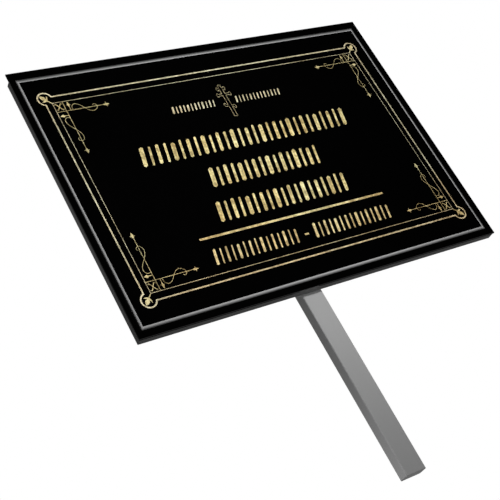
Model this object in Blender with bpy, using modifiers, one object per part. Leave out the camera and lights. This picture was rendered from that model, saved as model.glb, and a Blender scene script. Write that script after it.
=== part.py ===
# Grave plaque with stake: a black face plate with a raised panel, its grey backing board
# and the flat steel bar that is pushed into the ground.
# Metres, +Z up, the face looks along -Y. The origin is the centre of the stake's foot.
import math

import bmesh
import bpy
from mathutils import Matrix, Vector

MM = 0.001

# Driving dimensions
STAKE_WIDTH = 16 * MM
STAKE_DEPTH = 8.8 * MM
STAKE_BELOW_PLATE = 134.6 * MM
STAKE_BEHIND_PLATE = 150 * MM
STAKE_EDGE_RADIUS = 0.9 * MM

PLATE_WIDTH = 297 * MM
PLATE_HEIGHT = 210.6 * MM
PLATE_SIDE_SHIFT = 15.9 * MM        # the stake stands left of the middle of the plaque

BACKING_THICKNESS = 5.7 * MM
BACKING_INSET_SIDE = 0.8 * MM
BACKING_INSET_TOP = 4.5 * MM
BACKING_INSET_BOTTOM = 0
BACKING_EDGE_RADIUS = 0.5 * MM

RIM_THICKNESS = 1.2 * MM
RIM_CHAMFER = 0.25 * MM
PANEL_RISE = 0.8 * MM
PANEL_MARGIN_LEFT = 5.7 * MM
PANEL_MARGIN_RIGHT = 8.1 * MM
PANEL_MARGIN_TOP = 9.4 * MM
PANEL_MARGIN_BOTTOM = 7.15 * MM
COVE_WIDTH = 3.0 * MM
COVE_STEPS = 6

GAP = 0.3 * MM
CLOSE = 0.01 * MM                   # lengths this near each other count as equal
ENGRAVING_DEPTH = 0.5 * MM
CUTTER_OVERHANG = 0.5 * MM

# Engraved lines and marks, measured from a centre a little to the left of the plate's middle and above it
ARTWORK_SIDE_SHIFT = -1.05 * MM
ARTWORK_RISE = 0.2 * MM
BORDER_HALF_WIDTH = 131.4 * MM
BORDER_TOP = 80.2 * MM
BORDER_BOTTOM = -83.9 * MM
BORDER_LINE = 1.05 * MM
LOOP_RADIUS = 5.1 * MM
LOOP_INSET = 1.25 * MM              # how far a corner loop's centre lies inside the border's corner
LOOP_POINTS = 18

INNER_INSET_SIDE = 4.75 * MM
INNER_INSET_END = 5.45 * MM
INNER_LINE = 0.42 * MM

RULE_HALF_WIDTH = 77.2 * MM
RULE_HEIGHT = 1.6 * MM
RULE_PLACE = -51.35 * MM
DASH_HALF_WIDTH = 1.7 * MM
DASH_HEIGHT = 1.3 * MM
DASH_PLACE = -67.1 * MM

CROSS_FOOT = 37.4 * MM
CROSS_HEIGHT = 28.9 * MM
CROSS_LINE = 0.36 * MM
CROSS_POST_HALF = 1.3 * MM
CROSS_BUD = ((1.2 * MM, 0.9 * MM), (0.85 * MM, 1.9 * MM))   # the post's top: half width, distance below the top
CROSS_BAR_HALF = 0.8 * MM
CROSS_FLARE_HALF = 1.6 * MM         # half height of a bar's widened end
CROSS_FLARE_LENGTH = 1.4 * MM
CROSS_TIP = 0.4 * MM                # how far the end of a bar bulges out
CROSS_BARS = (                      # half width, height of the middle above the foot, fall to the right
    (3.3 * MM, 25.1 * MM, 0.0),
    (5.7 * MM, 19.8 * MM, 0.0),
    (4.0 * MM, 9.4 * MM, 1.4 * MM),
)

STROKE_LEAN = math.tan(math.radians(11))
STROKE_ROWS = (                     # left end, right end, foot, height, number of strokes, boldness
    (-46.4 * MM, -10.1 * MM, 48.3 * MM, 6.3 * MM, 12, 0.95),
    (6.2 * MM, 46.3 * MM, 48.3 * MM, 6.0 * MM, 13, 0.74),
    (-87.5 * MM, 87.5 * MM, 10.9 * MM, 16.2 * MM, 29, 0.96),
    (-46.7 * MM, 46.7 * MM, -15.9 * MM, 16.2 * MM, 16, 1.04),
    (-55.2 * MM, 55.2 * MM, -42.8 * MM, 16.1 * MM, 19, 1.0),
    (-74.7 * MM, -5.9 * MM, -72.15 * MM, 12.0 * MM, 15, 0.76),
    (5.9 * MM, 74.7 * MM, -72.15 * MM, 12.0 * MM, 15, 0.84),
)
STROKE_WIDTH_SHARES = (0.54, 0.30, 0.44, 0.31)      # of the pitch, repeated along a row
STROKE_LENGTH_SHARES = (1.0, 0.96, 1.0, 0.98, 0.93)
STROKE_POINT_SHARE = 0.35                           # length of a pointed end, in stroke widths

# Scrollwork in one corner, in mm: each line is a number of steps between two marks, and marks that are
# (distance from the inner border's side, distance from its top or bottom, line width). Lines of one
# set don't touch each other, and the two sets, which cross, are cut to their own depths.
SCROLL_DEPTHS = (0.4 * MM, 0.3 * MM)
FIRST_SCROLLS = (
    # arm along the top, with its spearhead
    (1, ((0.15, 8.05, 0.4), (34.5, 8.05, 0.4), (35.2, 8.05, 1.5), (37.2, 8.05, 1.7), (38.7, 8.05, 0.25))),
    # tendril on the arm down the side
    (2, ((6.9, 13.9, 0.3), (4.6, 13.5, 0.35), (2.95, 15.2, 0.36), (2.85, 17.8, 0.36), (4.4, 20.8, 0.36),
         (6.95, 23.9, 0.36), (8.9, 26.8, 0.36), (9.8, 29.7, 0.36), (9.2, 32.4, 0.36), (7.4, 33.8, 0.36),
         (5.75, 33.0, 0.35), (5.3, 31.6, 0.33), (6.2, 30.6, 0.28))),
    # barbs of the lower spearhead
    (1, ((5.0, 41.7, 0.2), (7.06, 41.4, 0.8), (9.1, 41.7, 0.2))),
    # spear from the side border, and the barbs of the other one
    (1, ((1.0, 11.8, 0.3), (2.9, 11.8, 2.1), (4.6, 11.8, 0.6), (6.95, 11.8, 0.5))),
    (1, ((8.9, 3.7, 0.2), (10.3, 3.0, 0.8), (11.7, 3.7, 0.2))),
    # stem and middle petal of the bud in the loop
    (1, ((0.1, 0.1, 0.5), (-2.4, -2.4, 0.7), (-3.4, -3.5, 1.6), (-4.7, -5.0, 3.0), (-5.8, -6.3, 2.0), (-6.4, -7.1, 0.3))),
    # one of the two crossed curls in the square
    (2, ((1.0, 2.2, 0.25), (1.7, 1.3, 0.5), (3.5, 4.0, 0.6), (5.4, 6.8, 0.5), (6.1, 5.9, 0.25))),
)
SECOND_SCROLLS = (
    (1, ((7.06, 0.15, 0.4), (7.06, 39.9, 0.4), (7.06, 40.6, 1.4), (7.06, 42.6, 1.8), (7.06, 44.2, 0.25))),
    (2, ((12.0, 7.9, 0.3), (12.0, 5.4, 0.35), (13.3, 3.8, 0.36), (15.3, 3.3, 0.36), (18.0, 4.9, 0.36),
         (20.6, 8.0, 0.36), (23.0, 10.5, 0.36), (25.8, 11.4, 0.36), (28.5, 10.2, 0.36), (29.7, 8.0, 0.36),
         (28.9, 6.4, 0.35), (27.5, 6.0, 0.33), (26.7, 7.0, 0.28))),
    (1, ((36.6, 6.0, 0.2), (36.3, 8.05, 0.8), (36.6, 10.1, 0.2))),
    (1, ((10.3, 0.8, 0.3), (10.3, 2.9, 1.7), (10.3, 5.0, 0.45), (10.3, 7.95, 0.5))),
    (1, ((3.6, 10.4, 0.2), (2.9, 11.8, 0.9), (3.6, 13.2, 0.2))),
    (2, ((-1.7, -6.5, 0.2), (-2.0, -4.6, 1.1), (-3.0, -3.0, 1.2), (-4.6, -2.2, 1.1), (-6.2, -2.1, 0.2))),
    (2, ((6.1, 2.1, 0.25), (5.4, 1.3, 0.5), (3.5, 4.0, 0.6), (1.6, 6.7, 0.5), (1.0, 5.8, 0.25))),
)

# Places worked out from these
STAKE_TOP = STAKE_BELOW_PLATE + STAKE_BEHIND_PLATE
BACKING_BACK_Y = -STAKE_DEPTH / 2 - GAP
BACKING_FRONT_Y = BACKING_BACK_Y - BACKING_THICKNESS
PLATE_BACK_Y = BACKING_FRONT_Y - GAP
RIM_Y = PLATE_BACK_Y - RIM_THICKNESS
PANEL_Y = RIM_Y - PANEL_RISE
PLATE_CENTRE = Vector((PLATE_SIDE_SHIFT, 0, STAKE_BELOW_PLATE + PLATE_HEIGHT / 2))
ARTWORK_CENTRE = PLATE_CENTRE + Vector((ARTWORK_SIDE_SHIFT, 0, ARTWORK_RISE))


def clear_scene():
    for old in list(bpy.data.objects):
        bpy.data.objects.remove(old, do_unlink=True)


def new_collection(name):
    collection = bpy.data.collections.new(name)
    bpy.context.scene.collection.children.link(collection)
    return collection


def new_material(name, grey, roughness):
    material = bpy.data.materials.new(name)
    material.use_nodes = True
    shader = material.node_tree.nodes["Principled BSDF"]
    shader.inputs["Base Color"].default_value = (grey, grey, grey, 1.0)
    shader.inputs["Roughness"].default_value = roughness
    shader.inputs["Metallic"].default_value = 0.0
    return material


def new_object(name, builder, collection, material=None):
    mesh = bpy.data.meshes.new(name)
    builder.to_mesh(mesh)
    builder.free()
    if material:
        mesh.materials.append(material)
    obj = bpy.data.objects.new(name, mesh)
    collection.objects.link(obj)
    return obj


def box(low, high):
    low = Vector(low)
    high = Vector(high)
    builder = bmesh.new()
    place = Matrix.Translation((low + high) / 2) @ Matrix.Diagonal((*(high - low), 1))
    bmesh.ops.create_cube(builder, size=1.0, matrix=place)
    return builder


def bevel_edges(obj, width, segments, chosen):
    # Rounds only the edges whose two end points answer chosen with True.
    mesh = obj.data
    weights = mesh.attributes.new("bevel_weight_edge", "FLOAT", "EDGE")
    for edge in mesh.edges:
        ends = [mesh.vertices[number].co for number in edge.vertices]
        weights.data[edge.index].value = 1.0 if chosen(*ends) else 0.0
    bevel = obj.modifiers.new("rounded_edges", "BEVEL")
    bevel.limit_method = "WEIGHT"
    bevel.width = width
    bevel.segments = segments


def make_stake(collection):
    half_width = STAKE_WIDTH / 2
    half_depth = STAKE_DEPTH / 2
    bar = box((-half_width, -half_depth, 0), (half_width, half_depth, STAKE_TOP))
    stake = new_object("stake", bar, collection, new_material("stake_grey", 0.28, 0.45))
    # The four long edges are rounded, and the foot and the top are cut square.
    bevel_edges(stake, STAKE_EDGE_RADIUS, 3, lambda a, b: abs(a.z - b.z) > STAKE_TOP / 2)


def make_backing(collection):
    half_width = PLATE_WIDTH / 2 - BACKING_INSET_SIDE
    low_z = -PLATE_HEIGHT / 2 + BACKING_INSET_BOTTOM
    high_z = PLATE_HEIGHT / 2 - BACKING_INSET_TOP
    board = box((-half_width, BACKING_FRONT_Y, low_z), (half_width, BACKING_BACK_Y, high_z))
    material = new_material("backing_dark_grey", 0.045, 0.6)
    backing = new_object("backing_board", board, collection, material)
    backing.location = PLATE_CENTRE
    # All edges of its back face and its four corners are eased.
    bevel_edges(backing, BACKING_EDGE_RADIUS, 2, lambda a, b: max(a.y, b.y) > BACKING_BACK_Y - CLOSE)


def cove_rings():
    # (distance outside the panel's edge, height above the rim) along a hollow quarter ellipse:
    # level with the rim where it starts and upright where it meets the panel.
    rings = []
    for step in range(COVE_STEPS + 1):
        angle = math.pi / 2 * step / COVE_STEPS
        rings.append((COVE_WIDTH * (1 - math.sin(angle)), PANEL_RISE * (1 - math.cos(angle))))
    return rings


def make_face_plate(collection, cutters):
    half_width = PLATE_WIDTH / 2
    half_height = PLATE_HEIGHT / 2
    slab = box((-half_width, RIM_Y, -half_height), (half_width, PLATE_BACK_Y, half_height))
    front = min(slab.faces, key=lambda face: face.calc_center_median().y)
    for outside, rise in cove_rings():
        bmesh.ops.inset_individual(slab, faces=[front], thickness=MM)
        for corner in front.verts:
            if corner.co.x > 0:
                corner.co.x = half_width - PANEL_MARGIN_RIGHT + outside
            else:
                corner.co.x = -half_width + PANEL_MARGIN_LEFT - outside
            if corner.co.z > 0:
                corner.co.z = half_height - PANEL_MARGIN_TOP + outside
            else:
                corner.co.z = -half_height + PANEL_MARGIN_BOTTOM - outside
            corner.co.y = RIM_Y - rise
    plate = new_object("face_plate", slab, collection, new_material("face_black_gloss", 0.006, 0.12))
    plate.location = PLATE_CENTRE

    def on_rim_outline(a, b):
        level = max(abs(a.y - RIM_Y), abs(b.y - RIM_Y)) < CLOSE
        middle = (a + b) / 2
        return level and (abs(middle.x) > half_width - CLOSE or abs(middle.z) > half_height - CLOSE)

    bevel_edges(plate, RIM_CHAMFER, 1, on_rim_outline)
    for cutter in cutters:
        engraving = plate.modifiers.new(cutter.name, "BOOLEAN")
        engraving.operation = "DIFFERENCE"
        engraving.object = cutter


def border_path():
    # Middle line of the outer border, clockwise: four straight sides between four corner loops.
    # A loop is the long arc of a circle, from where one side meets the circle to where the next does.
    opening = math.asin(LOOP_INSET / LOOP_RADIUS)
    sweep = 3 * math.pi / 2 - 2 * opening
    right = BORDER_HALF_WIDTH - LOOP_INSET
    top = BORDER_TOP - LOOP_INSET
    bottom = BORDER_BOTTOM + LOOP_INSET
    centres = ((right, top), (right, bottom), (-right, bottom), (-right, top))
    points = []
    for number, centre in enumerate(centres):
        start = math.pi - opening - number * math.pi / 2
        for step in range(LOOP_POINTS + 1):
            angle = start - sweep * step / LOOP_POINTS
            reach = Vector((math.cos(angle), math.sin(angle))) * LOOP_RADIUS
            points.append(Vector(centre) + reach)
    return points


def rectangle(left, right, bottom, top):
    return [Vector((left, top)), Vector((right, top)), Vector((right, bottom)), Vector((left, bottom))]


def inner_border_path():
    side = BORDER_HALF_WIDTH - INNER_INSET_SIDE
    return rectangle(-side, side, BORDER_BOTTOM + INNER_INSET_END, BORDER_TOP - INNER_INSET_END)


def cross_side(side):
    # One side of the three-bar cross from top to foot: out along each bar to its widened end and back.
    points = [Vector((side * half, CROSS_HEIGHT - below)) for half, below in CROSS_BUD]
    for half_width, middle, fall in CROSS_BARS:
        slope = -fall / half_width
        upper = (
            (CROSS_POST_HALF, CROSS_BAR_HALF),
            (half_width - CROSS_FLARE_LENGTH, CROSS_BAR_HALF),
            (half_width - CROSS_FLARE_LENGTH / 2, CROSS_FLARE_HALF),
            (half_width, CROSS_FLARE_HALF * 0.8),
        )
        end = (half_width + CROSS_TIP, 0)
        lower = [(x, -rise) for x, rise in reversed(upper)]
        for x, rise in (*upper, end, *lower):
            points.append(Vector((side * x, middle + rise + slope * side * x)))
    points.append(Vector((side * CROSS_POST_HALF, 0)))
    return points


def cross_path():
    tip = Vector((0, CROSS_HEIGHT))
    outline = [tip, *cross_side(1), *reversed(cross_side(-1))]
    return [point + Vector((0, CROSS_FOOT)) for point in outline]


def moved_sideways(path, distance):
    # A closed path moved sideways, each point along the mitre between its two neighbouring sides.
    moved = []
    for index, here in enumerate(path):
        before = (here - path[index - 1]).normalized()
        after = (path[(index + 1) % len(path)] - here).normalized()
        normal = Vector((-before.y, before.x))
        mitre = (normal + Vector((-after.y, after.x))).normalized()
        moved.append(here + mitre * (distance / mitre.dot(normal)))
    return moved


def line_outlines(path, width):
    return [moved_sideways(path, width / 2), moved_sideways(path, -width / 2)]


def stroke_outline(middle_x, foot, width, length):
    # A slim leaning bar with a low point above and below.
    half = width / 2
    point = width * STROKE_POINT_SHARE
    corners = [(0, 0), (half, point), (half, length - point), (0, length), (-half, length - point), (-half, point)]
    return [Vector((middle_x + x + (z - length / 2) * STROKE_LEAN, foot + z)) for x, z in corners]


def stroke_row(left, right, foot, height, count, boldness):
    pitch = (right - left) / count
    outlines = []
    for number in range(count):
        width = pitch * boldness * STROKE_WIDTH_SHARES[number % len(STROKE_WIDTH_SHARES)]
        length = height * STROKE_LENGTH_SHARES[number % len(STROKE_LENGTH_SHARES)]
        outlines.append(stroke_outline(left + pitch * (number + 0.5), foot, width, length))
    return outlines


def artwork_outlines():
    outlines = line_outlines(border_path(), BORDER_LINE)
    outlines += line_outlines(inner_border_path(), INNER_LINE)
    outlines += line_outlines(cross_path(), CROSS_LINE)
    for row in STROKE_ROWS:
        outlines += stroke_row(*row)
    for half_width, height, place in (
        (RULE_HALF_WIDTH, RULE_HEIGHT, RULE_PLACE),
        (DASH_HALF_WIDTH, DASH_HEIGHT, DASH_PLACE),
    ):
        outlines.append(rectangle(-half_width, half_width, place - height / 2, place + height / 2))
    return outlines


def line_through(marks, steps):
    # Points through the marks: straight between them for one step, else along a smooth cubic.
    marks = [Vector(mark) * MM for mark in marks]
    ends = [2 * marks[0] - marks[1], *marks, 2 * marks[-1] - marks[-2]]
    points = []
    for before, start, end, after in zip(ends, ends[1:], ends[2:], ends[3:]):
        for step in range(steps):
            t = step / steps
            bend = (2 * before - 5 * start + 4 * end - after) * t * t + (3 * start - before - 3 * end + after) * t * t * t
            points.append(start + ((end - before) * t + bend) / 2)
    return [*points, marks[-1]]


def tapered_outline(line):
    # Both sides of a line whose points hold their own width, joined into one closed outline.
    sides = ([], [])
    for index, here in enumerate(line):
        along = (line[min(index + 1, len(line) - 1)] - line[max(index - 1, 0)]).to_2d().normalized()
        reach = Vector((-along.y, along.x)) * here.z / 2
        sides[0].append(here.to_2d() + reach)
        sides[1].append(here.to_2d() - reach)
    return [*sides[0], *reversed(sides[1])]


def corner_outlines(scrolls):
    # The scrollwork is drawn for one corner of the inner border and mirrored into the four.
    side = BORDER_HALF_WIDTH - INNER_INSET_SIDE
    outlines = []
    for steps, marks in scrolls:
        outline = tapered_outline(line_through(marks, steps))
        for across in (-1, 1):
            outlines.append([Vector((across * (side - x), BORDER_TOP - INNER_INSET_END - z)) for x, z in outline])
            outlines.append([Vector((across * (side - x), BORDER_BOTTOM + INNER_INSET_END + z)) for x, z in outline])
    return outlines


def make_cutter(collection, name, outlines, depth):
    # One flat curve holds every outline, an outline within another being a hole, and it stands
    # upright in the panel, from in front of it to the floor of the engraving.
    curve = bpy.data.curves.new(name, "CURVE")
    curve.dimensions = "2D"
    curve.fill_mode = "BOTH"
    curve.extrude = (depth + CUTTER_OVERHANG) / 2
    for outline in outlines:
        spline = curve.splines.new("POLY")
        spline.points.add(len(outline) - 1)
        for point, place in zip(spline.points, outline):
            point.co = (place.x, place.y, 0, 1)
        spline.use_cyclic_u = True
    drawing = bpy.data.objects.new(name + "_curve", curve)
    collection.objects.link(drawing)
    drawing.rotation_euler = (math.pi / 2, 0, 0)
    drawing.location = ARTWORK_CENTRE + Vector((0, PANEL_Y + (depth - CUTTER_OVERHANG) / 2, 0))
    bpy.context.view_layer.update()

    builder = bmesh.new()
    evaluated = drawing.evaluated_get(bpy.context.evaluated_depsgraph_get())
    filled = bpy.data.meshes.new_from_object(evaluated)
    builder.from_mesh(filled)
    bpy.data.meshes.remove(filled)
    bmesh.ops.remove_doubles(builder, verts=builder.verts, dist=CLOSE)
    cutter = new_object(name, builder, collection)
    cutter.matrix_world = drawing.matrix_world.copy()
    cutter.hide_render = True
    cutter.display_type = "WIRE"
    bpy.data.objects.remove(drawing, do_unlink=True)
    return cutter


def make_cutters(collection):
    return (
        make_cutter(collection, "artwork_cutter", artwork_outlines(), ENGRAVING_DEPTH),
        make_cutter(collection, "first_scrolls_cutter", corner_outlines(FIRST_SCROLLS), SCROLL_DEPTHS[0]),
        make_cutter(collection, "second_scrolls_cutter", corner_outlines(SECOND_SCROLLS), SCROLL_DEPTHS[1]),
    )


def main():
    clear_scene()
    plaque = new_collection("grave_plaque_with_stake")
    cutters = new_collection("cutters")
    make_stake(plaque)
    make_backing(plaque)
    make_face_plate(plaque, make_cutters(cutters))


main()
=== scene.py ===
import math

import bpy
import numpy as np
from mathutils import Matrix, Vector


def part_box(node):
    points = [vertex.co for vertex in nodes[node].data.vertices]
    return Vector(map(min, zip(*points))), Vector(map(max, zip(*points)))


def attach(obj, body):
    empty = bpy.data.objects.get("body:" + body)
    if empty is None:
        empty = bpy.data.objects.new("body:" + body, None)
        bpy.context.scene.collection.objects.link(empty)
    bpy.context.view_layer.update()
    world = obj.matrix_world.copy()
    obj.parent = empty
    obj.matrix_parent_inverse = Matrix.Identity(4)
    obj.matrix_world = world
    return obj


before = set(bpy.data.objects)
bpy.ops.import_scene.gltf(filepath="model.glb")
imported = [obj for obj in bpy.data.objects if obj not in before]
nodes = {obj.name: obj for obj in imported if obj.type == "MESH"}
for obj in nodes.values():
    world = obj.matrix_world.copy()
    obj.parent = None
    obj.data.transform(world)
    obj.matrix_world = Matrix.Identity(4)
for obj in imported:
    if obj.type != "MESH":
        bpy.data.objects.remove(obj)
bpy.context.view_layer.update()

mm = 0.001
plateLow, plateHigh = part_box("face_plate")
plateCentre = (plateLow + plateHigh) / 2
panelY = plateLow.y


class Link:
    # A socket of a node tree. Arithmetic on it adds Math nodes, with plain numbers or other sockets.
    def __init__(self, graph, socket):
        self.graph = graph
        self.socket = socket

    def combined(self, operation, *others):
        return self.graph.add("ShaderNodeMath", {"operation": operation}, (self, *others))

    def __add__(self, other):
        return self.combined("ADD", other)

    __radd__ = __add__

    def __mul__(self, other):
        return self.combined("MULTIPLY", other)

    __rmul__ = __mul__

    def __sub__(self, other):
        return self.combined("SUBTRACT", other)

    def __rsub__(self, other):
        return self.graph.add("ShaderNodeMath", {"operation": "SUBTRACT"}, (other, self))

    def __truediv__(self, other):
        return self.combined("DIVIDE", other)

    def __pow__(self, other):
        return self.combined("POWER", other)

    def __abs__(self):
        return self.combined("ABSOLUTE")

    def least(self, other):
        return self.combined("MINIMUM", other)

    def most(self, other):
        return self.combined("MAXIMUM", other)

    def between(self, start, end):
        # Zero at start, one at end and a soft step from one to the other, also where end is the lower.
        settings = {"interpolation_type": "SMOOTHSTEP"}
        values = {"Value": self, "From Min": start, "From Max": end}
        return self.graph.add("ShaderNodeMapRange", settings, values)


class Graph:
    # The node tree of a material or a world. Settings are set before the values and links of the sockets.
    def __init__(self, owner):
        owner.use_nodes = True
        self.tree = owner.node_tree
        self.tree.nodes.clear()

    def node(self, kind, settings=None, inputs=None):
        made = self.tree.nodes.new(kind)
        for name, value in (settings or {}).items():
            if name == "stops":
                ramp = made.color_ramp
                while len(ramp.elements) < len(value):
                    ramp.elements.new(0.5)
                for element, (place, colour) in zip(ramp.elements, value):
                    element.position = place
                    element.color = (*colour, 1.0)
            else:
                setattr(made, name, value)
        pairs = inputs.items() if isinstance(inputs, dict) else enumerate(inputs or ())
        for key, value in pairs:
            socket = made.inputs[key]
            if isinstance(value, Link):
                self.tree.links.new(value.socket, socket)
            else:
                socket.default_value = value
        return made

    def add(self, kind, settings=None, inputs=None, output=0):
        return Link(self, self.node(kind, settings, inputs).outputs[output])

    def place(self):
        return self.add("ShaderNodeTexCoord", output="Object")

    def parts(self, vector):
        split = self.node("ShaderNodeSeparateXYZ", None, (vector,))
        return [Link(self, socket) for socket in split.outputs]

    def stretched(self, vector, scale):
        return self.add("ShaderNodeVectorMath", {"operation": "MULTIPLY"}, (vector, scale))

    def noise(self, vector, scale, detail=3.0, roughness=0.5, distortion=0.0):
        values = {"Vector": vector, "Scale": scale, "Detail": detail, "Roughness": roughness}
        return self.add("ShaderNodeTexNoise", None, {**values, "Distortion": distortion})

    def ramp(self, factor, stops):
        return self.add("ShaderNodeValToRGB", {"stops": stops}, (factor,))

    def mix(self, factor, first, second):
        values = {0: factor, 6: first, 7: second}
        return self.add("ShaderNodeMix", {"data_type": "RGBA"}, values, output=2)

    def bump(self, height, distance):
        return self.add("ShaderNodeBump", None, {"Height": height, "Distance": distance})

    def surface(self, values):
        shader = self.add("ShaderNodeBsdfPrincipled", None, values)
        self.node("ShaderNodeOutputMaterial", None, {"Surface": shader})


def grey(value):
    return (value, value, value, 1.0)


def newMaterial(name):
    material = bpy.data.materials.new(name)
    return material, Graph(material)


def give(node, material):
    # The node's own look takes the place of the plain one that it comes with.
    node.data.materials.clear()
    node.data.materials.append(material)


# Camera: the long lens stands low on the left and is tilted, so that the plaque runs across the picture
shot = {
    "lens": 82.12,
    "sensor": 36.0,
    "nearest": 0.01,
    "place": (-0.42173, -0.580077, -0.10616),
    "right": (0.821562, -0.339292, -0.458166),
    "up": (0.22278, -0.548682, 0.805802),
    "view": (0.52479, 0.764087, 0.375189),
}
cameraData = bpy.data.cameras.new("camera")
cameraData.lens = shot["lens"]
cameraData.sensor_width = shot["sensor"]
cameraData.clip_start = shot["nearest"]
camera = bpy.data.objects.new("camera", cameraData)
bpy.context.scene.collection.objects.link(camera)
turned = Matrix((shot["right"], shot["up"], -Vector(shot["view"]))).transposed().to_4x4()
camera.matrix_world = Matrix.Translation(shot["place"]) @ turned
bpy.context.scene.camera = camera
print("camera done")


# Surroundings: the camera sees plain white. The plaque is lit by a softer white, dimmer on the left, and
# dark screens stand where the glossy panel and the plate's underside mirror them. A screen is dark up to
# its core angle from its way and ends at its edge angle, in degrees.
surroundings = {
    "brightness": 0.70,
    "screens": (
        {"way": (0.526, -0.764, 0.374), "core": 22, "edge": 42},
        {"way": (0.525, 0.764, -0.375), "core": 18, "edge": 32},
    ),
    "leftShare": 0.86,
}
world = bpy.data.worlds.new("surroundings")
bpy.context.scene.world = world
graph = Graph(world)
way = graph.add("ShaderNodeTexCoord", output="Generated")
toLeft = 0.0 - graph.parts(way)[0]
light = (1.0 - toLeft.between(0.0, 0.5) * surroundings["leftShare"]) * surroundings["brightness"]
for screen in surroundings["screens"]:
    pair = (way, screen["way"])
    facing = graph.add("ShaderNodeVectorMath", {"operation": "DOT_PRODUCT"}, pair, output="Value")
    edge = math.cos(math.radians(screen["edge"]))
    core = math.cos(math.radians(screen["core"]))
    light = light * (1.0 - facing.between(edge, core))
seen = graph.add("ShaderNodeLightPath", output="Is Camera Ray")
strength = seen + (1.0 - seen) * light
background = graph.add("ShaderNodeBackground", None, {"Color": grey(1.0), "Strength": strength})
graph.node("ShaderNodeOutputWorld", None, {"Surface": background})

# Lamps: one lights the plaque from the front and fades out down the stake, a small one lights the side of
# the stake's foot, and one behind on the left lights the side of the backing board.
lamps = {
    "front_lamp": {
        "place": (0.02, -1.30, 0.42),
        "aim": (0.01, 0.0, 0.26),
        "size": 0.15,
        "spread": 24,
        "power": 0.32,
    },
    "low_lamp": {
        "place": (-0.13, -0.01, -0.03),
        "aim": (0.0, 0.0, 0.0),
        "size": 0.05,
        "spread": 140,
        "power": 0.044,
    },
    "side_lamp": {
        "place": (-0.60, 0.35, 0.28),
        "aim": (-0.133, -0.004, 0.26),
        "size": 0.1,
        "spread": 28,
        "power": 0.023,
    },
}
for name, lamp in lamps.items():
    data = bpy.data.lights.new(name, "AREA")
    data.size = lamp["size"]
    data.energy = lamp["power"]
    data.spread = math.radians(lamp["spread"])
    holder = bpy.data.objects.new(name, data)
    bpy.context.scene.collection.objects.link(holder)
    holder.location = lamp["place"]
    towards = Vector(lamp["aim"]) - Vector(lamp["place"])
    holder.rotation_euler = towards.to_track_quat("-Z", "Y").to_euler()
    holder.visible_camera = False
bpy.context.scene.view_settings.view_transform = "Standard"
print("light done")


# Face plate: black gloss, with a painted grey highlight on the hollow edge round its raised panel. The
# painted highlight is full beside the panel and fades away from it, with a tone set for how the light falls
# and a width of its own on each side. The sides are in the order left, right, bottom and top.
face = {
    "margins": (5.7 * mm, 8.1 * mm, 7.15 * mm, 9.4 * mm),
    "fades": (1.5 * mm, 2.4 * mm, 2.1 * mm, 3.2 * mm),
    "highlightGreys": (0.64, 0.74, 0.50, 0.48),
    "softness": 0.03 * mm,
    "fadeCurve": 1.4,
    "black": 0.0005,
}
material, graph = newMaterial("face_black_gloss")
place = graph.place()
x, y, z = graph.parts(place)
left, right, bottom, top = face["margins"]
distances = (
    plateLow.x + left - x,
    x - (plateHigh.x - right),
    plateLow.z + bottom - z,
    z - (plateHigh.z - top),
)
outside = tone = onCove = 0.0 * x
for distance, width, shade in zip(distances, face["fades"], face["highlightGreys"]):
    outside = (distance / width).most(outside)
    onSide = distance.between(-face["softness"], 0.0)
    onCove = onSide.most(onCove)
    tone = (onSide * shade).most(tone)
fade = (1.0 - outside.least(1.0)) ** face["fadeCurve"]
onCove = onCove * fade
dust = graph.noise(place, 900.0, 4.0, 0.6)
smears = graph.noise(graph.stretched(place, (1.0, 1.0, 0.35)), 60.0, 4.0, 0.65)
brushed = graph.noise(graph.stretched(place, (1.0, 1.0, 12.0)), 500.0, 3.0, 0.6)
# Painted highlight: each side's grey tone, faded away from the panel, goes into the base colour
colour = graph.mix(tone * fade, grey(face["black"]), grey(1.0))
roughness = 0.07 + smears * 0.06 + onCove * (0.25 + brushed * 0.2) + dust.between(0.66, 0.8) * 0.1
normal = graph.bump(dust * 0.3 + smears, 0.004 * mm)
graph.surface({"Base Color": colour, "Roughness": roughness, "Normal": normal, "IOR": 1.45})
give(nodes["face_plate"], material)
print("face plate done")


# Backing board: dark grey sheet with a fine grain
backing = {"grey": 0.056, "grain": 700.0}
material, graph = newMaterial("backing_dark_grey")
place = graph.place()
grain = graph.noise(place, backing["grain"], 4.0, 0.7)
clouds = graph.noise(place, 35.0, 3.0, 0.5)
shade = backing["grey"] * (0.92 + clouds * 0.10 + grain * 0.06)
colour = graph.mix(shade * 10.0, grey(0.0), grey(0.1))
normal = graph.bump(grain, 0.02 * mm)
graph.surface({"Base Color": colour, "Roughness": 0.5 + grain * 0.15, "Normal": normal})
give(nodes["backing_board"], material)
print("backing board done")


# Stake: grey paint over steel, a little worn at the long edges and darker along them, and painted shade
# darkens the end face at its foot. An edge begins where the distances from the middle, as shares of the
# half sizes, add up to its first number.
stake = {
    "grey": 0.365,
    "half": (8.0 * mm, 4.4 * mm),
    "edge": (1.88, 1.96),
    "edgeShare": 0.18,
    "end": 0.6 * mm,
    "endShadeShare": 0.36,
    "chipGrey": 0.34,
    "shine": 0.3,
}
material, graph = newMaterial("stake_grey")
place = graph.place()
x, y, z = graph.parts(place)
peel = graph.noise(place, 420.0, 3.0, 0.5)
clouds = graph.noise(graph.stretched(place, (1.0, 1.0, 0.3)), 60.0, 4.0, 0.6)
nearEdge = (abs(x) / stake["half"][0] + abs(y) / stake["half"][1]).between(*stake["edge"])
chips = nearEdge * graph.noise(place, 260.0, 4.0, 0.7).between(0.56, 0.66)
# Painted shade: the end face at the foot is darker
shadedEnd = z.between(stake["end"], 0.0) * stake["endShadeShare"]
paint = stake["grey"] * (0.95 + clouds * 0.08 + peel * 0.03) * (1.0 - shadedEnd)
# Darker along the long edges
paint = paint * (1.0 - nearEdge * stake["edgeShare"])
colour = graph.mix(chips * 0.5, graph.mix(paint, grey(0.0), grey(1.0)), grey(stake["chipGrey"]))
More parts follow.
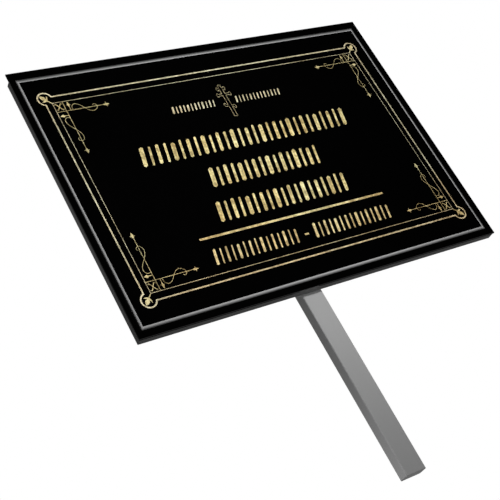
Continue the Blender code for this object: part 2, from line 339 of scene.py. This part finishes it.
values = {
    "Base Color": colour,
    "Roughness": 0.52 + peel * 0.1 + clouds * 0.08,
    "Normal": graph.bump(peel, 0.02 * mm),
    "Metallic": chips * 0.4,
    "Specular IOR Level": stake["shine"],
}
graph.surface(values)
give(nodes["stake"], material)
print("stake done")


# Gold leaf, laid into the engraving. The three long rows have the richest gold, the last row, the rule and
# the scrollwork a paler one, the borders and the first row the palest, and the cross the dullest. Each
# gold has a deep, a middle and a pale tone, in a cooler and a warmer set, and a lift towards the pale one.
artworkCentre = plateCentre + Vector((-1.05 * mm, 0.0, 0.2 * mm))
gold = {
    "floor": panelY + 0.49 * mm,
    "top": panelY + 0.02 * mm,
    "ease": 0.03 * mm,
    "clearance": 0.02 * mm,
    "floorClearance": 0.01 * mm,
    "toneStops": (0.38, 0.50, 0.62),
    "rimHighlight": 0.06,
    "loops": (130.15 * mm, 80.8 * mm),
    "loopsMiddle": artworkCentre.z - 1.85 * mm,
    "loopReach": (9 * mm, 5 * mm),
    "loopLift": 0.06,
    "warmFrom": artworkCentre.z + 20 * mm,
    "warmTo": artworkCentre.z - 90 * mm,
    "warmEverywhere": 0.2,
    "warmClouds": 3.0,
    "warmBelow": 0.65,
    "warmToRight": 1.5,
}
leafTones = {
    "gold_leaf": {
        "cool": ((0.32, 0.26, 0.11), (0.60, 0.52, 0.23), (0.90, 0.84, 0.46)),
        "warm": ((0.32, 0.20, 0.06), (0.62, 0.46, 0.16), (0.92, 0.79, 0.38)),
        "lift": 0.0,
    },
    "fine_gold_leaf": {
        "cool": ((0.33, 0.30, 0.18), (0.58, 0.54, 0.35), (0.86, 0.82, 0.58)),
        "warm": ((0.34, 0.24, 0.12), (0.62, 0.47, 0.25), (0.90, 0.73, 0.43)),
        "lift": 0.0,
    },
    "middle_gold_leaf": {
        "cool": ((0.34, 0.29, 0.13), (0.66, 0.59, 0.30), (0.96, 0.90, 0.53)),
        "warm": ((0.36, 0.24, 0.09), (0.70, 0.52, 0.22), (0.98, 0.80, 0.40)),
        "lift": -0.012,
    },
    "cross_gold_leaf": {
        "cool": ((0.30, 0.25, 0.13), (0.50, 0.43, 0.24), (0.80, 0.72, 0.42)),
        "warm": ((0.30, 0.21, 0.09), (0.52, 0.40, 0.19), (0.82, 0.68, 0.36)),
        "lift": -0.02,
    },
}


def goldLeaf(name):
    # Crumpled leaf: patches and flakes move the tone between deep and pale, a painted highlight makes the
    # rims of a line paler than its middle, the corner loops are paler too, and broad clouds and the lower
    # right part of the plaque are warmer.
    material, graph = newMaterial(name)
    place = graph.place()
    x, y, z = graph.parts(place)
    flakes = graph.noise(place, 420.0, 4.0, 0.62, 0.8)
    patches = graph.noise(place, 130.0, 3.0, 0.5, 0.5)
    grains = graph.noise(place, 1500.0, 2.0, 0.5)
    clouds = graph.noise(place, 22.0, 2.0, 0.5)
    across = graph.add("ShaderNodeAttribute", {"attribute_name": "across"}, output="Fac")
    rim = abs(across).between(0.35, 0.95)
    aside = abs(x - artworkCentre.x) - gold["loops"][0]
    rise = abs(z - gold["loopsMiddle"]) - gold["loops"][1]
    far, near = gold["loopReach"]
    loopNear = (aside * aside + rise * rise).between(far**2, near**2)
    # Painted highlight: the rims of each line are paler than its middle
    tone = flakes * 0.6 + patches * 0.4 + (rim - 0.5) * gold["rimHighlight"]
    tone = tone + loopNear * gold["loopLift"] + leafTones[name]["lift"]
    low = z.between(gold["warmFrom"], gold["warmTo"])
    warmth = (clouds - 0.5) * gold["warmClouds"] + gold["warmEverywhere"]
    warmth = (warmth + low * (gold["warmBelow"] + x * gold["warmToRight"])).most(0.0).least(1.0)
    stops = [tuple(zip(gold["toneStops"], leafTones[name][way])) for way in ("cool", "warm")]
    colour = graph.mix(warmth, *[graph.ramp(tone, colours) for colours in stops])
    normal = graph.bump(tone + grains * 0.2, 0.03 * mm)
    roughness = 0.38 + grains * 0.25
    graph.surface({"Base Color": colour, "Roughness": roughness, "Metallic": 0.3, "Normal": normal})
    return material


leaves = {name: goldLeaf(name) for name in leafTones}


def bands(left, right, closed, floor=gold["floor"], top=gold["top"]):
    # Flat bands between a left and a right edge line, both (bands, points, 2) on the plate. Each cross
    # section has six corners: the two feet, the two sides just under the top, and the top's two corners,
    # drawn in by the ease. Closed bands run round, and open ones get a flat cap at each end. It gives the
    # points, the four-sided faces and the caps.
    count, points = left.shape[:2]
    across = right - left
    width = np.linalg.norm(across, axis=2, keepdims=True)
    inward = across / np.maximum(width, 1e-9) * np.minimum(gold["ease"], width * 0.25)
    flat = np.stack([left, left, left + inward, right - inward, right, right], axis=2)
    level = np.array([floor, top + gold["ease"], top, top, top + gold["ease"], floor])
    place = np.empty((count, points, 6, 3))
    place[..., 0] = flat[..., 0] + artworkCentre.x
    place[..., 1] = level
    place[..., 2] = flat[..., 1] + artworkCentre.z
    steps = np.arange(points if closed else points - 1)
    band, step, corner = np.meshgrid(np.arange(count), steps, np.arange(6), indexing="ij")
    here = (band * points + step) * 6
    after = (band * points + (step + 1) % points) * 6
    following = (corner + 1) % 6
    sides = np.stack([here + corner, here + following, after + following, after + corner], axis=3)
    first = np.arange(count)[:, None] * points * 6 + np.arange(5, -1, -1)
    last = (np.arange(count)[:, None] * points + points - 1) * 6 + np.arange(6)
    caps = np.empty((0, 6), int) if closed else np.concatenate([first, last])
    return place.reshape(-1, 3), sides.reshape(-1, 4), caps


def goldPiece(name, leaf, *groups):
    # One piece made of several sets of bands. Its own attribute runs from -1 at a band's left side to 1
    # at its right.
    points = []
    faces = []
    total = 0
    for places, sides, caps in groups:
        faces += (sides + total).tolist() + (caps + total).tolist()
        points.append(places)
        total += len(places)
    mesh = bpy.data.meshes.new(name)
    mesh.from_pydata(np.concatenate(points).tolist(), [], faces)
    mesh.materials.append(leaves[leaf])
    across = np.tile(np.repeat(np.array([-1.0, 1.0]), 3), total // 6)
    mesh.attributes.new("across", "FLOAT", "POINT").data.foreach_set("value", across)
    piece = bpy.data.objects.new(name, mesh)
    bpy.context.scene.collection.objects.link(piece)
    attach(piece, "root")
    return piece


def unit(vectors):
    # The same directions at length one.
    return vectors / np.linalg.norm(vectors, axis=-1, keepdims=True)


def lineAlong(path, width):
    # A closed path's two edges: each point moved to both sides along the mitre of its neighbouring sides.
    before = unit(path - np.roll(path, 1, axis=0))
    after = unit(np.roll(path, -1, axis=0) - path)
    normal = np.stack([-before[:, 1], before[:, 0]], axis=1)
    mitre = unit(normal + np.stack([-after[:, 1], after[:, 0]], axis=1))
    reach = mitre * (width / 2 - gold["clearance"]) / np.sum(mitre * normal, axis=1, keepdims=True)
    return bands((path + reach)[None], (path - reach)[None], True)


# Outer border: four straight sides between four corner loops, each the long arc of a circle
border = {"halfWidth": 131.4 * mm, "top": 80.2 * mm, "bottom": -83.9 * mm, "line": 1.05 * mm}
loop = {"radius": 5.1 * mm, "inset": 1.25 * mm, "points": 18}
opening = math.asin(loop["inset"] / loop["radius"])
centreX = border["halfWidth"] - loop["inset"]
centreTop = border["top"] - loop["inset"]
centreBottom = border["bottom"] + loop["inset"]
centres = np.array([
    (centreX, centreTop),
    (centreX, centreBottom),
    (-centreX, centreBottom),
    (-centreX, centreTop),
])
turn = math.pi - opening - np.arange(4)[:, None] * math.pi / 2
angle = turn - (3 * math.pi / 2 - 2 * opening) * np.linspace(0, 1, loop["points"] + 1)[None]
arcs = centres[:, None] + np.stack([np.cos(angle), np.sin(angle)], axis=2) * loop["radius"]
goldPiece("outer_border", "fine_gold_leaf", lineAlong(arcs.reshape(-1, 2), border["line"]))

# Inner border: a plain rectangle
inner = {"side": 4.75 * mm, "end": 5.45 * mm, "line": 0.42 * mm}
innerX = border["halfWidth"] - inner["side"]
innerTop = border["top"] - inner["end"]
innerBottom = border["bottom"] + inner["end"]
rectangle = np.array([
    (-innerX, innerTop),
    (innerX, innerTop),
    (innerX, innerBottom),
    (-innerX, innerBottom),
])
goldPiece("inner_border", "fine_gold_leaf", lineAlong(rectangle, inner["line"]))
print("borders done")

# Cross: the outline of a post with three bars, their ends widened and the lowest one sloping. The bud is
# (half width, distance below the top), and a bar is (half width, height above the foot, fall at its end).
cross = {
    "foot": 37.4 * mm,
    "height": 28.9 * mm,
    "line": 0.31 * mm,
    "postHalf": 1.3 * mm,
    "bud": np.array([(1.2, 0.9), (0.85, 1.9)]) * mm,
    "barHalf": 0.8 * mm,
    "flareHalf": 1.6 * mm,
    "cornerShare": 0.8,
    "flareLength": 1.4 * mm,
    "tip": 0.4 * mm,
    "bars": np.array([(3.3, 25.1, 0.0), (5.7, 19.8, 0.0), (4.0, 9.4, 1.4)]) * mm,
}
halfWidth, middle, fall = cross["bars"].T[..., None]
upperReach = halfWidth - np.array([0.0, 1.0, 0.5, 0.0]) * cross["flareLength"]
upperReach[:, 0] = cross["postHalf"]
barHalf, flareHalf = cross["barHalf"], cross["flareHalf"]
upperRise = np.array([barHalf, barHalf, flareHalf, flareHalf * cross["cornerShare"]])
reach = np.concatenate([upperReach, halfWidth + cross["tip"], upperReach[:, ::-1]], axis=1)
rise = middle + np.concatenate([upperRise, [0.0], -upperRise[::-1]])
slope = -fall / halfWidth


def crossSide(side):
    # From the top bud to the foot, out along each bar to its widened end and back.
    bud = cross["bud"] * (side, -1.0) + (0.0, cross["height"])
    arms = np.stack([side * reach, rise + slope * side * reach], axis=2).reshape(-1, 2)
    return np.concatenate([bud, arms, [(side * cross["postHalf"], 0.0)]])


tip = np.array([(0.0, cross["height"])])
outline = np.concatenate([tip, crossSide(1), crossSide(-1)[::-1]]) + (0.0, cross["foot"])
goldPiece("cross", "cross_gold_leaf", lineAlong(outline, cross["line"]))
print("cross done")


# Rows of strokes: leaning bars with a low point above and below, their widths and lengths repeating along
# the row. A row is its leaf, its left and right ends, foot and height in mm, number of strokes and boldness.
strokes = {
    "lean": math.tan(math.radians(11)),
    "widthShares": np.array([0.54, 0.30, 0.44, 0.31]),
    "lengthShares": np.array([1.0, 0.96, 1.0, 0.98, 0.93]),
    "pointShare": 0.35,
    "tipShare": 0.02,
    "rows": {
        "upper_left_strokes": ("fine_gold_leaf", -46.4, -10.1, 48.3, 6.3, 12, 0.87),
        "upper_right_strokes": ("fine_gold_leaf", 6.2, 46.3, 48.3, 6.0, 13, 0.74),
        "first_line_strokes": ("gold_leaf", -87.5, 87.5, 10.9, 16.2, 29, 0.96),
        "second_line_strokes": ("gold_leaf", -46.7, 46.7, -15.9, 16.2, 16, 1.04),
        "third_line_strokes": ("gold_leaf", -55.2, 55.2, -42.8, 16.1, 19, 1.0),
        "lower_left_strokes": ("middle_gold_leaf", -74.7, -5.9, -72.15, 12.0, 15, 0.76),
        "lower_right_strokes": ("middle_gold_leaf", 5.9, 74.7, -72.15, 12.0, 15, 0.84),
    },
}


def strokeRow(start, end, foot, height, count, boldness):
    # Each stroke runs from its foot point, past two shoulders, to its top point. The half width is almost
    # nothing at the points and full between the shoulders, and all of it leans by a share of the height.
    number = np.arange(count)
    pitch = (end - start) / count
    cut = pitch * boldness * strokes["widthShares"][number % 4]
    length = height * strokes["lengthShares"][number % 5]
    point = cut * strokes["pointShare"]
    level = np.stack([0 * point, point, length - point, length], axis=1)
    level[:, [0, 3]] += np.array([1, -1]) * 2 * gold["clearance"]
    tip = strokes["tipShare"]
    half = (cut[:, None] / 2 - gold["clearance"]) * np.array([tip, 1.0, 1.0, tip])
    middle = (start + pitch * (number + 0.5))[:, None] + (level - length[:, None] / 2) * strokes["lean"]
    left = np.stack([middle - half, foot + level], axis=2)
    right = np.stack([middle + half, foot + level], axis=2)
    return bands(left, right, False)


for name, (leaf, start, end, foot, height, count, boldness) in strokes["rows"].items():
    goldPiece(name, leaf, strokeRow(start * mm, end * mm, foot * mm, height * mm, count, boldness))
print("strokes done")


# Rule above the last row and the dash in the middle of it: half length, middle and height in mm
bars = {"rule": (77.2, -51.35, 1.6), "dash": (1.7, -67.1, 1.3)}
for name, (half, middle, height) in bars.items():
    run = np.array([-half, half]) * mm + np.array([1, -1]) * gold["clearance"]
    rise = height * mm / 2 - gold["clearance"]
    above = np.stack([run, np.full(2, middle * mm + rise)], axis=1)[None]
    below = np.stack([run, np.full(2, middle * mm - rise)], axis=1)[None]
    goldPiece(name, "middle_gold_leaf", bands(above, below, False))
print("rule and dash done")


# Scrollwork in one corner, in mm: each line is a number of steps between two marks, and marks that are
# (distance from the inner border's side, distance from its top or bottom, line width). The two sets lie
# at their own depths, and each is mirrored into the four corners.
scrolls = {
    "arms_and_buds": {
        "depth": 0.4 * mm,
        "top": 0.03 * mm,
        "lines": (
            (1, ((0.15, 8.05, 0.4), (34.5, 8.05, 0.4), (35.2, 8.05, 1.2), (37.2, 8.05, 1.35),
                 (38.7, 8.05, 0.25))),
            (2, ((6.9, 13.9, 0.3), (4.6, 13.5, 0.35), (2.95, 15.2, 0.36), (2.85, 17.8, 0.36),
                 (4.4, 20.8, 0.36), (6.95, 23.9, 0.36), (8.9, 26.8, 0.36), (9.8, 29.7, 0.36),
                 (9.2, 32.4, 0.36), (7.4, 33.8, 0.36), (5.75, 33.0, 0.35), (5.3, 31.6, 0.33),
                 (6.2, 30.6, 0.28))),
            (1, ((5.0, 41.7, 0.2), (7.06, 41.4, 0.8), (9.1, 41.7, 0.2))),
            (1, ((1.0, 11.8, 0.3), (2.9, 11.8, 2.1), (4.6, 11.8, 0.6), (6.95, 11.8, 0.5))),
            (1, ((8.9, 3.7, 0.2), (10.3, 3.0, 0.8), (11.7, 3.7, 0.2))),
            (1, ((0.1, 0.1, 0.5), (-2.4, -2.4, 0.7), (-3.4, -3.5, 1.6), (-4.7, -5.0, 3.0),
                 (-5.8, -6.3, 2.0), (-6.4, -7.1, 0.3))),
            (2, ((1.0, 2.2, 0.25), (1.7, 1.3, 0.5), (3.5, 4.0, 0.6), (5.4, 6.8, 0.5), (6.1, 5.9, 0.25))),
        ),
    },
    "crossing_scrolls": {
        "depth": 0.3 * mm,
        "top": 0.04 * mm,
        "lines": (
            (1, ((7.06, 0.15, 0.4), (7.06, 39.9, 0.4), (7.06, 40.6, 1.4), (7.06, 42.6, 1.8),
                 (7.06, 44.2, 0.25))),
            (2, ((12.0, 7.9, 0.28), (12.0, 5.4, 0.31), (13.3, 3.8, 0.31), (15.3, 3.3, 0.31),
                 (18.0, 4.9, 0.31), (20.6, 8.0, 0.31), (23.0, 10.5, 0.31), (25.8, 11.4, 0.31),
                 (28.5, 10.2, 0.31), (29.7, 8.0, 0.31), (28.9, 6.4, 0.31), (27.5, 6.0, 0.3),
                 (26.7, 7.0, 0.26))),
            (1, ((36.6, 6.0, 0.2), (36.3, 8.05, 0.8), (36.6, 10.1, 0.2))),
            (1, ((10.3, 0.8, 0.3), (10.3, 2.9, 1.7), (10.3, 5.0, 0.45), (10.3, 7.95, 0.5))),
            (1, ((3.6, 10.4, 0.2), (2.9, 11.8, 0.9), (3.6, 13.2, 0.2))),
            (2, ((-1.7, -6.5, 0.2), (-2.0, -4.6, 1.1), (-3.0, -3.0, 1.2), (-4.6, -2.2, 1.1),
                 (-6.2, -2.1, 0.2))),
            (2, ((6.1, 2.1, 0.25), (5.4, 1.3, 0.5), (3.5, 4.0, 0.6), (1.6, 6.7, 0.5), (1.0, 5.8, 0.25))),
        ),
    },
}
# Corners of the inner border on the plate, and the way in from each
corners = np.array([
    (innerX, innerTop),
    (-innerX, innerTop),
    (innerX, innerBottom),
    (-innerX, innerBottom),
])
inward = np.array([(-1, -1), (1, -1), (-1, 1), (1, 1)])


def lineThrough(marks, steps):
    # Points through the marks: straight between them for one step, else along a cubic that takes its
    # direction at each mark from the marks on either side.
    marks = np.array(marks) * mm
    ends = np.concatenate([[2 * marks[0] - marks[1]], marks, [2 * marks[-1] - marks[-2]]])
    before, start, end, after = ends[:-3, None], ends[1:-2, None], ends[2:-1, None], ends[3:, None]
    t = (np.arange(steps) / steps)[None, :, None]
    bend = (2 * before - 5 * start + 4 * end - after) * t**2 + (3 * start - before - 3 * end + after) * t**3
    points = start + ((end - before) * t + bend) / 2
    return np.concatenate([points.reshape(-1, 3), marks[-1:]])


def scrollBands(marks, steps, scroll):
    # A line's two sides, half its width off to each side, in the four corners. Mirroring swaps the sides.
    line = lineThrough(marks, steps)
    padded = np.concatenate([line[:1], line, line[-1:]])[:, :2]
    along = unit(padded[2:] - padded[:-2])
    line[[0, -1], :2] += along[[0, -1]] * np.array([[1], [-1]]) * gold["clearance"]
    reach = np.stack([-along[:, 1], along[:, 0]], axis=1) * (line[:, 2:] / 2 - gold["clearance"])
    sides = np.stack([line[:, :2] + reach, line[:, :2] - reach])
    placed = corners[:, None, None] + inward[:, None, None] * sides[None]
    swapped = inward[:, 0] * inward[:, 1] < 0
    left = np.where(swapped[:, None, None], placed[:, 1], placed[:, 0])
    right = np.where(swapped[:, None, None], placed[:, 0], placed[:, 1])
    floor = panelY + scroll["depth"] - gold["floorClearance"]
    return bands(left, right, False, floor, panelY + scroll["top"])


for name, scroll in scrolls.items():
    lines = [scrollBands(marks, steps, scroll) for steps, marks in scroll["lines"]]
    goldPiece(name, "middle_gold_leaf", *lines)
print("scrollwork done")
